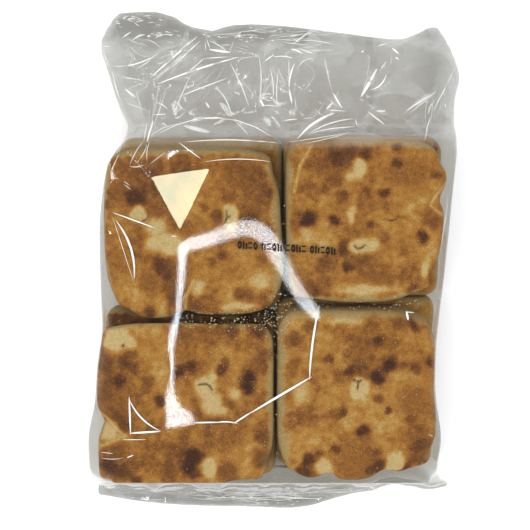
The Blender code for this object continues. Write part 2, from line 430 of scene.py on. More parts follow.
def prick(bun, skin):
    """Makes the pale pricked dents, puckered round their middles. The deeper one is, the paler it stays."""
    for x, y, radius_x, radius_y, depth in bun.docks:
        dent = bell(skin.mark_u, skin.mark_v, x, y, radius_x, radius_y) * skin.upward
        puckers = np.abs(np.sin(5 * np.arctan2(skin.v - y, skin.u - x) + 2 * skin.middling))
        skin.lift -= depth * dent * (0.75 + 0.3 * puckers)
        paleness = smooth_step(0.05, 0.62, (0.42 + 0.5 * depth) * dent)
        skin.brown += paleness * (0.05 + 0.06 * puckers - skin.brown)


def crease(bun, skin):
    """Presses in the soft pale creases."""
    for start, end, half_width, depth in bun.creases:
        away = distance_from_line(skin.u, skin.v, start, end)
        dip = np.exp(-((away / half_width) ** 2)) * skin.upward
        skin.lift -= depth * dip
        skin.brown += 0.8 * dip * (0.12 - skin.brown)


def tear(bun, skin):
    """Tears the thin slits, which wander a little; their inside is later darkened with painted shade."""
    for start, end in bun.tears:
        away = distance_from_line(skin.u + 0.6 * skin.small, skin.v + 0.6 * skin.fine, start, end)
        slit = np.exp(-((away / TEAR_HALF_WIDTH) ** 2)) * skin.upward
        skin.slit_depth_and_shade = np.maximum(skin.slit_depth_and_shade, slit)
    skin.lift -= TEAR_DEPTH * skin.slit_depth_and_shade


def roughen_sides(points, skin):
    """Makes the sides pale, and raises and dents them."""
    skin.brown += skin.side * (0.21 + 0.2 * skin.middling + 0.16 * skin.small - skin.brown)
    out = skin.side * (0.8 * skin.middling + 0.35 * skin.small + 0.4) * MM
    away = np.maximum(np.hypot(skin.u, skin.v), 1)
    points[:, 0] += out * skin.u / away
    points[:, 1] += out * skin.v / away


def sculpt(bun, piece):
    """Gives a bun its uneven outline and all its marks, and says how brown each place is."""
    points = points_of(piece)
    u = points[:, 0] / MM - bun.middle[0]
    v = points[:, 1] / MM - bun.middle[1]
    below_top = (bun.top - points[:, 2]) / MM
    draw_outline(bun, points, u, v, below_top)
    skin = fresh_skin(bun, points, u, v, below_top)
    for make_marks in (bake_pale_rims, blister, prick, crease, tear):
        make_marks(bun, skin)
    points[:, 2] += skin.lift * MM * skin.upward
    roughen_sides(points, skin)
    place_points(piece, points)
    store(piece, "browning", np.clip(skin.brown, 0, 1))
    store(piece, "slit_depth_and_shade", skin.slit_depth_and_shade)
    store(piece, "flour_and_shade", skin.flour_and_shade)


def press_under(film_surface, piece):
    """Moves what would stick out of the film back inside it."""
    points = points_of(piece)
    for i, point in enumerate(points):
        nearest, normal, _, _ = film_surface.find_nearest(Vector(point))
        over = (Vector(point) - nearest).dot(normal) + FILM_GAP
        if over > 0:
            points[i] -= np.array(normal) * over
    place_points(piece, points)


def make_bun(bun, voxel, crust, film_surface):
    piece = dough_block(bun, voxel)
    sculpt(bun, piece)
    press_under(film_surface, piece)
    piece.data.materials.append(crust)
    piece.data.shade_smooth()
    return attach(piece, "root")


# The film.

def film_copy():
    """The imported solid's skin as one closed, finely divided sheet of film."""
    film = bpy.data.objects.new("film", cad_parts["bag"].data.copy())
    bpy.context.scene.collection.objects.link(film)
    film.data.materials.clear()
    work_on(film)
    bpy.ops.object.mode_set(mode="EDIT")
    bpy.ops.mesh.select_all(action="SELECT")
    bpy.ops.mesh.remove_doubles(threshold=0.01 * MM)
    bpy.ops.mesh.tris_convert_to_quads(face_threshold=math.radians(60), shape_threshold=math.radians(60))
    bpy.ops.object.mode_set(mode="OBJECT")
    if "custom_normal" in film.data.attributes:
        film.data.attributes.remove(film.data.attributes["custom_normal"])
    apply_modifier(film, "SUBSURF", levels=2, render_levels=2)
    return film


def inside_share(x, y):
    """1 where the film lies well on the bread, down to 0 at the bread's outer edges."""
    (left, right), (near, far) = BREAD_AREA
    share = smooth_step(left, left + EDGE_ROLL, x) * (1 - smooth_step(right - EDGE_ROLL, right, x))
    return share * smooth_step(near, near + EDGE_ROLL, y) * (1 - smooth_step(far - EDGE_ROLL, far, y))


# The film sags over the far left bun in flat facets that meet at one low point. Places in millimetres.
SAG_POINT = (-82, 71)
SAG_RIM = ((-62, 34), (-41, 77), (-55, 93), (-100, 93), (-113, 66), (-112, 32))
SAG_DEPTH = 3.5
SAG_REACH = 12  # how far below the taut film it still shows

# Stretches along y over which the film changes, from the near end to the far one, in millimetres.
NEAR_CRIMP = (-171, -163)  # the crimped seal ends
NEAR_FOOT = (-170, -162)  # the foot of the near wall begins to wander
NEAR_SLACK = (-165, -152)  # the slack film ends
FOOT_END = (-152, -146)
NEAR_WALL = (-150, -138)  # the leaning wall turns into the top
NEAR_WRAP = (-144, -132)  # the film begins to wrap the bread
FAR_SLACK = (88, 100)  # it grows slack again
FAR_WRAP = (94, 106)  # and no longer wraps the bread
FAR_CRIMP = (152, 164)  # the far seal begins
FAR_HEM = (158, 168)  # the crumpling dies out

# The empty end, the walls and the seals, in millimetres.
EMPTY_END = ((-118, 124), (100, 162))  # x and y ranges that are crumpled
UNDERSIDE_CRUMPLING = 0.35  # as a share of the crumpling above
WRAPPED_HEIGHTS = (8, 30)
WALL_LEAN = 3  # how far the near wall leans in to the bread above its foot
LEANING_HEIGHTS = (12, 36)
BAG_MIDDLE = 2  # x
SHADED_SIDES = (92, 112)  # how far from there the slack film's sides are darkened, as painted shade
SEAL_SQUEEZE = 0.55  # share of its height that the film loses where it is crimped
LOWEST_FILM = 0.05


def side_of(x, y, start, end):
    """Twice the area between a straight line and each place, negative on its other side."""
    return (x - start[0]) * (end[1] - start[1]) - (y - start[1]) * (end[0] - start[0])


def pyramid(x, y, peak, rim):
    """1 at a peak, falling evenly to 0 at the straight-sided rim round it."""
    share = np.zeros(x.shape)
    for start, end in zip(rim, rim[1:] + rim[:1]):
        height = side_of(x, y, start, end) / side_of(*peak, start, end)
        to_end = side_of(x, y, peak, start) / side_of(*end, peak, start)
        to_start = side_of(x, y, end, peak) / side_of(*start, end, peak)
        share = np.where((height >= 0) & (to_end >= 0) & (to_start >= 0), height, share)
    return share


def random_facets(x, y, draw, count, area, reaches, heights):
    """Crumpling: scattered pyramids with three to five flat sides, as height in millimetres."""
    rise = np.zeros(x.shape)
    (left, right), (near, far) = area
    for _ in range(count):
        middle = Vector((draw.uniform(left, right), draw.uniform(near, far)))
        reach, stretch, lean = draw.uniform(*reaches), draw.uniform(0.25, 1), draw.uniform(0, math.pi)
        corners = draw.randint(3, 5)
        rim = []
        for k in range(corners):
            turn = math.tau * (k + draw.uniform(-0.25, 0.25)) / corners
            out = Vector((math.cos(turn), math.sin(turn) * stretch)) * reach
            out.rotate(Matrix.Rotation(lean, 2))
            rim.append(tuple(middle + out))
        rise += draw.uniform(*heights) * draw.choice((1, 1, -1)) * pyramid(x, y, tuple(middle), tuple(rim))
    return rise


def pulled_tight(y, z):
    """Film heights where it wraps the bread, with its roll at the bread's edges drawn in tight."""
    top = FILM_TOP / MM
    wrapped = smooth_step(*NEAR_WRAP, y) * (1 - smooth_step(*FAR_WRAP, y)) * smooth_step(*WRAPPED_HEIGHTS, z)
    return z + wrapped * (top * (1 - (1 - z / top) ** 2) - z)


def facing_up(piece):
    """For each vertex, whether the surface there faces upwards."""
    normals = np.empty(len(piece.data.vertices) * 3)
    piece.data.vertex_normals.foreach_get("vector", normals)
    return normals.reshape(-1, 3)[:, 2] > 0.05


def pulled_flat(x, y, z, faces_up):
    """Film heights with its top flat over the bread, and how far each place sags, from 0 to 1."""
    top = FILM_TOP / MM
    z = np.where(faces_up, pulled_tight(y, np.minimum(z, top)), z)
    z = z + inside_share(x, y) * faces_up * (top - z)
    sag = pyramid(x, y, SAG_POINT, SAG_RIM) * faces_up * (z > top - SAG_REACH)
    return z - SAG_DEPTH * sag, sag


def crumpled(x, y, z, faces_up, slack):
    """Film heights with its empty end crumpled, least underneath and not at all at its edge."""
    draw = random.Random(11)
    crumple = random_facets(x, y, draw, 26, EMPTY_END, reaches=(18, 45), heights=(1, 3))
    crumple += random_facets(x, y, draw, 50, EMPTY_END, reaches=(6, 18), heights=(0.4, 1.6))
    room = smooth_step(0, 6, z) * (1 - smooth_step(*FAR_HEM, y))
    return z + slack * crumple * np.where(faces_up, 1, UNDERSIDE_CRUMPLING) * room


def near_wall(y, z, wander):
    """Where along y the film lies, with its near wall leaning in to the bread and its foot wandering."""
    y = y + WALL_LEAN * smooth_step(*LEANING_HEIGHTS, z) * (1 - smooth_step(*NEAR_WALL, y))
    foot = smooth_step(*NEAR_FOOT, y) * (1 - smooth_step(*FOOT_END, y))
    return y + foot * wander


def shape_film(film):
    """Pulls the film taut over the bread, crumples its slack end and flattens its crimped seals."""
    points = points_of(film)
    x, y, z = points.T / MM
    faces_up = facing_up(film)
    slack = smooth_step(*FAR_SLACK, y)
    z, sag = pulled_flat(x, y, z, faces_up)
    z = crumpled(x, y, z, faces_up, slack)
    wander = 6 * cloud(points * (1, 0, 0), 32 * MM, 3) + 2.5 * cloud(points * (1, 0, 0), 9 * MM, 4)
    y = near_wall(y, z, wander)
    crimp = np.maximum(smooth_step(*FAR_CRIMP, y - wander), 1 - smooth_step(*NEAR_CRIMP, y + wander))
    z = z * (1 - SEAL_SQUEEZE * crimp)
    slack = np.maximum(slack, 1 - smooth_step(*NEAR_SLACK, y))
    # Painted shade along the slack film's sides, joined below with where the seals are doubled.
    side_shade = slack * smooth_step(*SHADED_SIDES, np.abs(x - BAG_MIDDLE))
    place_points(film, np.stack([x, y, np.maximum(z, LOWEST_FILM)], axis=1) * MM)
    store(film, "slack", slack)
    store(film, "touching", inside_share(x, y) * (sag == 0))
    store(film, "doubled_and_shaded", np.maximum(crimp, side_shade))


def make_film(material):
    film = film_copy()
    shape_film(film)
    film.data.materials.append(material)
    film.data.shade_smooth()
    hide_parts("bag")
    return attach(film, "root")


# What lies on and under the film.

ABOVE_ALL = 0.2  # metres


def joined_copies(name, template, placings, material):
    """One piece made of many copies of a small shape; each placing turns its points into a copy's points."""
    start = points_of(template)
    faces = [list(face.vertices) for face in template.data.polygons]
    bpy.data.objects.remove(template)
    mesh = bpy.data.meshes.new(name)
    mesh.from_pydata(
        np.concatenate([place(start) for place in placings]).tolist(), [],
        [[corner + i * len(start) for corner in face] for i in range(len(placings)) for face in faces],
    )
    mesh.materials.append(material)
    mesh.shade_smooth()
    piece = bpy.data.objects.new(name, mesh)
    bpy.context.scene.collection.objects.link(piece)
    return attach(piece, "root")


def small_shape(add, **settings):
    """A primitive at the origin, for joined_copies to copy."""
    deselect()
    add(**settings)
    return bpy.context.active_object


def height_on(surfaces, x, y):
    """Height of the topmost surface at a place in millimetres, or 0 where there is none."""
    start = Vector((x * MM, y * MM, ABOVE_ALL))
    hits = [surface.ray_cast(start, Vector((0, 0, -1)))[0] for surface in surfaces]
    return max([hit.z for hit in hits if hit], default=0)


WHITE_LINE_NARROWING = 0.55  # the share of the half width given for it at which every white line is drawn
WHITE_LINE_THICKNESS = 0.2  # millimetres

# White lines on the film, partly folds whitened by creasing and partly painted glints of light, in
# millimetres:
# start x, y, end x, y, how far they bow to their left, half width, and how white they are, from 0 to 1.
BREAD_FOLDS_AND_GLINTS = (
    (-108, 47, -78, 36, 0, 0.8, 0.95), (-108, 45, -94, -1, 0, 0.35, 0.7), (-106, 42, -94, 1, 4.5, 1.5, 0.7),
    (-96, 78, -86, 95, 1, 0.4, 0.7), (-90, 82, -84, 93, -1, 0.4, 0.7), (-84, 81, -82, 95, 1, 0.4, 0.7),
    (-83, 79, -71, 88, 0, 0.4, 0.6), (-96, 78, -86, 79, -1, 0.5, 0.8), (-63, 94, -48, 83, 0, 0.6, 0.9),
    (-46, 81, -1, 81, 2, 0.5, 0.9), (-100, 68, -96, 65, 0, 0.4, 0.5), (-100, 66, -95, 62, 0, 0.4, 0.5),
    (-69, 31, -64, 31, 0, 0.5, 0.8), (-98.6, -80, -98, -108, 0, 1.2, 0.9),
    (-99, -106.5, -77, -105, 0, 1.4, 0.9), (-99, -81, -77, -105, -3.5, 1.1, 0.9),
    (-104, -111, -87, -111, 0, 0.5, 0.8), (-119, -120, -110, -121, 0, 0.4, 0.8),
    (-119, -124, -103, -124, -1, 0.35, 0.8), (-101, -124, -96, -122, 0, 0.7, 0.9),
    (90.5, -20.5, 92, -27, 0, 1.4, 0.95), (90, -21, 96, -21.5, 0, 0.5, 0.8),
    (107, -107, 111, -109, 0, 0.3, 0.6), (-122, -159, -109, -159, 0, 0.5, 0.6),
    (31.5, -16, 25, -69, -1.2, 1.4, 0.9), (27, -66, -17, -93, 0, 1.6, 0.9),
    (-15, -91.5, -27, -99.5, 0, 1.2, 0.8), (-24, -99.5, -40, -99, -1, 1.0, 0.8),
    (-36, -98.5, -57, -99, 0, 1.1, 0.8), (-69, -38, -71, -80, 1, 1.1, 0.8), (121, 6, 96, -20, 1, 0.5, 0.6),
    (118, 60, 113, 22, 0, 0.4, 0.4), (119, -2, 116, -60, 1, 0.4, 0.4),
)
EMPTY_END_FOLDS_AND_GLINTS = (
    (-52, 163, -84, 135, 0, 1.0, 0.85), (-52, 158, -82, 133, 0, 2.4, 0.22),
    (-56, 161, -66, 151, 0, 0.5, 0.7), (-50, 160, -70, 141, 0, 0.7, 0.7),
    (-23, 149, -79, 131, -1, 1.1, 0.95), (-31, 149, -47, 148, 0, 0.6, 0.7),
    (-47, 148, -58, 139, 0, 0.8, 0.6), (-46, 161, -43, 154, 0, 0.5, 0.8), (-44, 154, -29, 152, 0, 1.6, 0.8),
    (-45, 160, -31, 152, 1, 0.6, 0.6), (-47, 160, -46, 152, 0, 0.4, 0.6), (-36, 157, -29, 157, 0, 0.4, 0.6),
    (-27, 160, -30, 151, 0, 0.4, 0.4), (-31, 135, -66, 122, 0, 0.7, 0.75),
    (-39, 129, -28, 109, 2, 0.6, 0.75), (-28, 109, -15, 97, 0, 0.5, 0.4), (-30, 146, -16, 115, 1, 0.8, 0.5),
    (-10, 152, -10, 115, 2, 0.6, 0.6), (-2, 142, 0, 121, 1, 0.6, 0.7), (4, 140, 3, 116, -1, 0.5, 0.5),
    (-10, 116, 4, 116, 1, 0.5, 0.6), (-9, 121, -6, 116, 0, 1.4, 0.9), (-8, 123, 0, 120, -1, 0.5, 0.5),
    (-6, 146, 1, 151, 0, 0.8, 0.6), (0, 149, 14, 148, 1, 0.7, 0.8), (-84, 95, 6, 93, 15, 0.6, 0.9),
    (-84, 96, -63, 105, 2, 0.5, 0.6), (-61, 104, -42, 100, 0, 2.6, 0.4), (-60, 94, 6, 93, 2, 0.6, 0.75),
    (-84, 94, -81, 108, 0, 1.1, 0.9), (-86, 95, -85, 106, 0, 0.6, 0.7), (-81, 111, -72, 111, 0, 0.5, 0.8),
    (-80, 119, -71, 114, 1, 0.6, 0.7), (-101, 128, -93, 122, 0, 1.2, 0.5),
    (-110, 143, -78, 152, -3, 0.8, 0.8), (-80, 151, -94, 141, 1, 0.5, 0.6),
    (-97, 160, -88, 164, 1, 0.9, 0.8), (-89, 161, -77, 155, 1, 0.4, 0.6),
    (-104, 162, -98, 166, 0, 0.7, 0.8), (-117, 155, -112, 142, 0, 0.5, 0.5),
    (-110, 141, -103, 118, -1, 0.7, 0.6), (-118, 156, -112, 156, 0, 0.4, 0.5),
    (-106, 135, -84, 132, 1, 0.5, 0.4), (-100, 119, -84, 113, 0, 0.4, 0.5),
    (-56, 138, -68, 110, 0, 0.6, 0.4), (-46, 119, -43, 115, 0, 1.5, 0.4), (27, 167, 13, 157, 0, 0.6, 0.8),
    (20, 160, 43, 157, 1, 0.5, 0.6), (16, 155, 29, 151, 0, 0.6, 0.6), (23, 153, 43, 153, 0, 0.35, 0.5),
    (29, 148, 16, 139, -3, 0.5, 0.6), (15, 145, 11, 128, -1, 1.0, 0.85), (11, 128, 13, 118, 0, 1.2, 0.85),
    (11, 148, 11, 132, 0, 0.5, 0.7), (15, 122, 16, 113, 0, 0.4, 0.6), (12, 154, 20, 151, 1, 1.2, 0.8),
    (7, 107, 17, 108, 0, 0.7, 0.7), (20, 108, 27, 109, 0, 0.4, 0.4), (16, 96, 42, 112, 2, 1.4, 0.98),
    (24, 99, 56, 108, 2, 0.7, 0.9), (24, 99, 56, 103, 1, 0.6, 0.85), (56, 108, 57, 103, 0, 0.5, 0.8),
    (10, 94, 55, 100, 0, 0.4, 0.6), (21, 93, 50, 99, 0, 0.35, 0.7), (41, 125, 47, 115, 0, 1.0, 0.95),
    (41, 119, 36, 114, 0, 0.8, 0.9), (36, 114, 50, 113, 0, 0.5, 0.8), (60, 122, 72, 141, 0, 2.0, 0.85),
    (66, 127, 78, 138, -3, 0.9, 0.85), (74, 140, 78, 146, 0, 0.5, 0.7), (64, 113, 76, 104, 0, 1.2, 0.45),
    (70, 113, 77, 113, 0, 1.5, 0.4), (90, 113, 111, 126, 0, 1.0, 0.6), (92, 111, 109, 124, 0, 0.5, 0.5),
    (101, 95, 107, 110, 0, 0.6, 0.65), (108, 112, 126, 144, 0, 0.5, 0.65),
    (117, 118, 118, 115, 0, 0.5, 0.7), (116, 126, 117, 123, 0, 0.4, 0.7), (72, 156, 79, 158, 0, 0.5, 0.7),
    (82, 155, 87, 151, 0, 1.1, 0.9), (84, 149, 87, 147, 0, 0.8, 0.8), (61, 152, 63, 153, 0, 0.9, 0.8),
    (35, 150, 40, 127, 0, 1.0, 0.22),
)


# Pleats in the empty end, from which fine white lines fan out, partly whitened creases and partly painted
# glints:
# x, y, direction and spread in degrees, how many lines, the longest one's length.
PLEATS_AND_GLINT_FANS = (
    (-52, 161, 222, 16, 12, 54), (-82, 133, 48, 15, 10, 48), (-82, 133, 180, 38, 10, 32),
    (-84, 95, 72, 24, 9, 44), (-10, 116, 84, 26, 10, 42), (13, 117, 92, 20, 10, 44),
    (13, 153, -12, 34, 10, 36), (18, 97, 32, 12, 8, 46), (-30, 149, 204, 14, 9, 58),
    (-31, 147, 285, 16, 7, 48), (104, 95, 76, 9, 5, 44), (110, 127, 214, 10, 6, 34),
    (-103, 162, -24, 24, 8, 28), (-117, 150, -44, 44, 8, 26), (60, 121, 62, 14, 6, 30),
    (44, 116, 100, 60, 8, 14), (70, 113, -80, 34, 6, 16), (-8, 150, 160, 26, 8, 34),
    (82, 152, 200, 60, 6, 12),
)


def fanned_creases_and_glints(draw):
    """Fine straight white lines that run out from each pleat: whitened creases and painted glints."""
    white_lines = []
    for x, y, direction, spread, count, longest in PLEATS_AND_GLINT_FANS:
        for _ in range(count):
            turn = math.radians(draw.gauss(direction, spread))
            start, end = draw.uniform(0, 0.3) * longest, draw.uniform(0.45, 1) * longest
            white_lines.append((
                x + start * math.cos(turn), y + start * math.sin(turn),
                x + end * math.cos(turn), y + end * math.sin(turn),
                draw.uniform(-2, 2), draw.uniform(0.2, 0.4), draw.uniform(0.06, 0.36),
            ))
    return white_lines


def small_folds_and_glints(draw, count, middle, spread, lengths, whiteness):
    """Short white lines strewn round a place, whitened folds and painted glints, most of them running along
    the bag's width.
    """
    white_lines = []
    for _ in range(count):
        x, y = draw.gauss(middle[0], spread[0]), draw.gauss(middle[1], spread[1])
        length = draw.uniform(*lengths)
        turn = draw.gauss(0, 1.6 / (2 + length))
        white_lines.append((
            x, y, x + length * math.cos(turn), y + length * math.sin(turn),
            0, draw.uniform(0.2, 0.5), draw.uniform(*whiteness),
        ))
    return white_lines


def seal_folds_and_glints(draw):
    """Fine whitened creases and painted glints of the crimped seals at both ends."""
    white_lines = small_folds_and_glints(draw, 130, (2, -169), (44, 3.6), (8, 34), (0.2, 0.7))
    white_lines += small_folds_and_glints(draw, 150, (0, -168), (42, 3.8), (1.2, 5), (0.4, 1))
    white_lines += small_folds_and_glints(draw, 40, (-5, 164), (28, 2.2), (6, 26), (0.15, 0.5))
    white_lines += small_folds_and_glints(draw, 40, (-5, 164), (26, 2.6), (1, 4), (0.5, 0.95))
    white_lines += small_folds_and_glints(draw, 26, (-95, 174), (9, 1.6), (1.5, 6), (0.4, 0.9))
    white_lines += small_folds_and_glints(draw, 22, (-78, 164), (8, 1.4), (1.5, 6), (0.4, 0.9))
    return white_lines


def draped(white_line, surfaces):
    """Lays a spindle from -1 to 1 along x on the film, along one white line."""
    x0, y0, x1, y1, bow, half_width, _ = white_line
    run = np.array([x1 - x0, y1 - y0])
    across = np.array([-run[1], run[0]]) / np.hypot(*run)

    def place(start):
        share = (start[:, 0:1] + 1) / 2
        spots = np.array([x0, y0]) + run * share
        spots += across * (bow * 4 * share * (1 - share) + start[:, 1:2] * half_width * WHITE_LINE_NARROWING)
        heights = [height_on(surfaces, x, y) for x, y in spots]
        return np.column_stack([spots * MM, np.array(heights) + WHITE_LINE_THICKNESS / 2 * (1 + start[:, 2]) * MM])

    return place


def on_film(white_line, film_surface):
    """Whether both ends of a white line lie on the film."""
    return min(height_on([film_surface], *white_line[0:2]), height_on([film_surface], *white_line[2:4])) > 0


# White lines on the film: folds whitened by creasing, and painted glints of light.
def make_folds_and_glints(film_surface, material):
    white_lines = [*BREAD_FOLDS_AND_GLINTS, *EMPTY_END_FOLDS_AND_GLINTS]
    white_lines += fanned_creases_and_glints(random.Random(7))
    white_lines += seal_folds_and_glints(random.Random(5))
    white_lines = [white_line for white_line in white_lines if on_film(white_line, film_surface)]
    spindle = small_shape(
        bpy.ops.mesh.primitive_uv_sphere_add,
        segments=6, ring_count=10, radius=1, rotation=(0, math.pi / 2, 0),
    )
    bpy.ops.object.transform_apply(rotation=True)
    fading = 1 - 0.6 * points_of(spindle)[:, 0] ** 2
    piece = joined_copies("film_folds_and_painted_glints", spindle, [draped(white_line, [film_surface]) for white_line in white_lines], material)
    store(piece, "whiteness", np.outer([white_line[-1] for white_line in white_lines], fading).ravel())


# Crumbs: how many, x range, middle and spread in y, radius range, all in millimetres.
CRUMB_PLACES = (
    (150, (-66, 12), -27, 4, (0.25, 0.6)), (36, (-6, 12), -24, 7, (0.3, 0.7)),
    (50, (8, 100), -16, 3, (0.25, 0.6)), (70, (0, 9), -40, 60, (0.25, 0.5)),
    (170, (-74, 20), -20, 60, (0.2, 0.4)), (150, (-45, 100), -80, 34, (0.2, 0.4)),
    (50, (-110, 110), -20, 70, (0.2, 0.35)),
)


def strewn(middle, radii):
    """Stretches a pebble to its radii and lays it in its place."""
    return lambda start: start * radii + middle


def make_crumbs(bread_surfaces, material):
    draw = random.Random(23)
    placings = []
    for count, xs, middle_y, spread, radii in CRUMB_PLACES:
        for _ in range(count):
            x, y, radius = draw.uniform(*xs), draw.gauss(middle_y, spread), draw.uniform(*radii) * MM
            if inside_share(x, y) < 1:
                continue
            height = height_on(bread_surfaces, x, y)
            if height < UPPER_BASE:
                # Over the gaps between the buns, crumbs cling to the film.
                height = FILM_TOP - 2 * radius
            stretch = np.array([draw.uniform(0.7, 1.3), draw.uniform(0.7, 1.3), 0.8])
            middle = np.array([x * MM, y * MM, height + 0.6 * radius])
            placings.append(strewn(middle, stretch * radius))
    pebble = small_shape(bpy.ops.mesh.primitive_ico_sphere_add, subdivisions=1, radius=1)
    joined_copies("crumbs", pebble, placings, material)


# The line of ink marks printed on the film, from its left end to its right end, in millimetres.
PRINT_START = (-22.5, 25)
PRINT_END = (40.5, 21)
PRINT_MARKS = 17
PRINT_GAPS = (3, 7, 11)  # a gap follows each of these marks
PRINT_STEP = 3.5
PRINT_GAP_STEP = 5.4
PRINT_RING = (1.35, 2.5)  # half width and half height of a ring
# The strokes of the two other kinds of mark: x and y from the mark's middle, half width and half height.
PRINT_STROKES = (
    ((-0.9, 0, 0.55, 2.6), (1, -0.5, 0.55, 2.1)),
    ((0, 1.8, 1.35, 0.5), (0, -1.6, 1.35, 0.5)),
)
INK_HEIGHT = 0.04  # of a mark's middle above the film
INK_HALF_THICKNESS = 0.03


def print_places():
    """Where each of the marks stands, with a wider gap between groups."""
    spots = []
    along = 0
    for number in range(PRINT_MARKS):
        spots.append(along)
        along += PRINT_GAP_STEP if number in PRINT_GAPS else PRINT_STEP
    return [spot / spots[-1] for spot in spots]


def flat_mark(x, y, half_width, half_height, surface):
    """Presses a shape into a thin mark on the film."""
    def place(start):
        spots = np.array([x, y]) + start[:, :2] * (half_width, half_height)
        height = height_on([surface], x, y)
        rise = INK_HEIGHT + INK_HALF_THICKNESS * np.sign(start[:, 2])
        return np.column_stack([spots * MM, height + rise * MM])

    return place


def make_print(film_surface, material):
    """A ring, two upright strokes and two level strokes in turn."""
    rings = []
    strokes = []
    for number, share in enumerate(print_places()):
        x, y = [start + share * (end - start) for start, end in zip(PRINT_START, PRINT_END)]
        kind = number % 3
        if kind == 0:
            rings.append(flat_mark(x, y, *PRINT_RING, film_surface))
            continue
        for over, up, half_width, half_height in PRINT_STROKES[kind - 1]:
            strokes.append(flat_mark(x + over, y + up, half_width, half_height, film_surface))
    ring = small_shape(
        bpy.ops.mesh.primitive_torus_add,
        major_segments=16, minor_segments=4, major_radius=0.75, minor_radius=0.34,
    )
    joined_copies("ink_rings", ring, rings, material)
    bar = small_shape(bpy.ops.mesh.primitive_cube_add, size=2)
    joined_copies("ink_strokes", bar, strokes, material)


# Materials.

def new_material(name):
    material = bpy.data.materials.new(name)
    material.use_nodes = True
    tree = material.node_tree
    tree.nodes.clear()
    return material, tree


def set_stops(ramp_node, stops):
    """Fills a colour ramp with the given positions and colours."""
    elements = ramp_node.color_ramp.elements
    while len(elements) < len(stops):
        elements.new(0.5)
    for element, (position, code) in zip(elements, stops):
        element.position = position
        element.color = linear(code)


def baked_crust():
    """Oven-browned wheat crust: matt to faintly shiny, cream where pale, dark brown where blistered, with
    painted shade on its sides and in its slits.
    """
    material, tree = new_material("baked_crust")
    place = add_node(tree, "ShaderNodeTexCoord").outputs["Object"]
    browning = add_node(tree, "ShaderNodeAttribute", attribute_name="browning").outputs["Fac"]
    slit_depth_and_shade = add_node(tree, "ShaderNodeAttribute", attribute_name="slit_depth_and_shade").outputs["Fac"]
    flour_and_shade = add_node(tree, "ShaderNodeAttribute", attribute_name="flour_and_shade").outputs["Fac"]
    # Mottling of about 3 mm and baked bubbles of about 0.9 mm.
    mottle = add_node(
        tree, "ShaderNodeTexNoise", {"Vector": place}, Scale=330, Detail=3, Roughness=0.6
    ).outputs["Fac"]
    grain = add_node(
        tree, "ShaderNodeTexNoise", {"Vector": place}, Scale=1100, Detail=2, Roughness=0.6
    ).outputs["Fac"]
    mottled = add_node(tree, "ShaderNodeMath", {0: mottle, 1: 0.3, 2: browning}, operation="MULTIPLY_ADD")
    grained = add_node(
        tree, "ShaderNodeMath", {0: grain, 1: 0.62, 2: mottled.outputs[0]}, operation="MULTIPLY_ADD"
    )
    # Less the two patterns' average, so that a place keeps its own browning.
    centred = add_node(tree, "ShaderNodeMath", {0: grained.outputs[0], 1: 0.46}, operation="SUBTRACT")
    colours = add_node(tree, "ShaderNodeValToRGB", {"Fac": centred.outputs[0]})
    set_stops(colours, (
        (0.00, "D9C28A"), (0.16, "CDB078"), (0.30, "C29346"), (0.47, "AF7733"), (0.62, "915D29"),
        (0.78, "6E4523"), (0.90, "54321D"), (1.00, "402616"),
    ))
    # The sides and pale rims are greyer and darker than the top, with flour on them; on the sides the
    # darkening is also painted shade.
    flour_and_shade_share = add_node(tree, "ShaderNodeMath", {0: flour_and_shade, 1: 0.52}, operation="MULTIPLY")
    floured_and_shaded = add_node(
        tree, "ShaderNodeMix",
        {"Factor": flour_and_shade_share.outputs[0], "A": colours.outputs["Color"], "B": linear("84734E")}, data_type="RGBA",
    )
    # Painted shade inside the torn slits.
    shade = add_node(
        tree, "ShaderNodeMix", {"Factor": slit_depth_and_shade, "A": floured_and_shaded.outputs["Result"], "B": linear("54391F")},
        data_type="RGBA",
    )
    dimples = add_node(tree, "ShaderNodeBump", {"Height": mottle}, Strength=1, Distance=0.8 * MM)
    bump = add_node(
        tree, "ShaderNodeBump", {"Height": grain, "Normal": dimples.outputs["Normal"]},
        Strength=0.5, Distance=0.25 * MM,
    )
    crust = add_node(
        tree, "ShaderNodeBsdfPrincipled",
        {"Base Color": shade.outputs["Result"], "Normal": bump.outputs["Normal"]}, Roughness=0.62, IOR=1.4,
    )
    add_node(tree, "ShaderNodeOutputMaterial", {"Surface": crust.outputs[0]})
    return material


def crumpled_normal(tree, wide, narrow, slack):
    """The tilt of the film's flat facets, about 1 mm high where it is slack."""
    facets = add_node(
        tree, "ShaderNodeMath", {0: narrow.outputs["Distance"], 1: 0.4, 2: wide.outputs["Distance"]},
        operation="MULTIPLY_ADD",
    )
    height = add_node(tree, "ShaderNodeMath", {0: facets.outputs[0], 1: slack}, operation="MULTIPLY")
    return add_node(
        tree, "ShaderNodeBump", {"Height": height.outputs[0]}, Strength=1, Distance=1.1 * MM
    ).outputs["Normal"]


def seen_through(tree):
    """What passes through the film: less where the crimped seals are doubled, and less along the slack
    film's sides as painted shade.
    """
    doubled_and_shaded = add_node(tree, "ShaderNodeAttribute", attribute_name="doubled_and_shaded").outputs["Fac"]
    tint = add_node(
        tree, "ShaderNodeMix", {"Factor": doubled_and_shaded, "A": linear("E4E3E0"), "B": linear("DBDAD7")},
        data_type="RGBA",
    )
    return add_node(tree, "ShaderNodeBsdfTransparent", {"Color": tint.outputs["Result"]})


